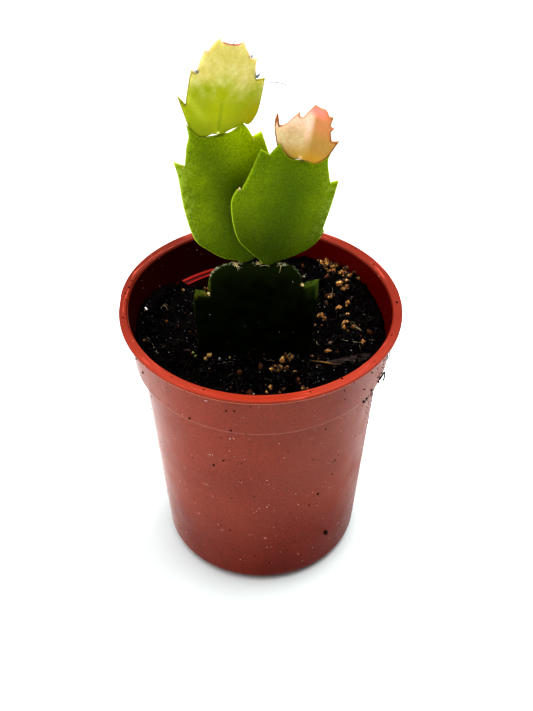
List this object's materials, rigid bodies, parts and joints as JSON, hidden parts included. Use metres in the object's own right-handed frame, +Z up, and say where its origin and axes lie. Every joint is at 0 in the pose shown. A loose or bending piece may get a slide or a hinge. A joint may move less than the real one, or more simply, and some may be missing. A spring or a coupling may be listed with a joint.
{
  "type": "potted thanksgiving cactus",
  "caption": "Young potted cactus: flat, toothed, jointed stem segments standing in dark potting soil with pale grains, in a round tapered plastic nursery pot with a lipped band.",
  "frame": {"origin": "middle of the pot's base, on the surface that it stands on", "axes": "+Z up, -Y towards the viewer, which the flat faces of the segments look at, +X to the viewer's right"},
  "size_m": [0.07, 0.07, 0.1504],
  "materials": {
    "pot_plastic": "satin brick-red moulded plastic",
    "potting_soil": "damp dark peat with tan grains",
    "old_segment": "waxy dark green",
    "green_segment": "waxy green",
    "young_green_segment": "waxy yellow green",
    "blush_segment": "waxy cream and pink",
    "bark": "weathered"
  },
  "bodies": {
    "root": {"pot": "pot_plastic", "soil": "potting_soil", "base_segment": "old_segment", "left_segment": "green_segment", "right_segment": "green_segment", "left_tip_segment": "young_green_segment", "right_tip_segment": "blush_segment", "bark_chip": "bark"}
  },
  "joints": []
}
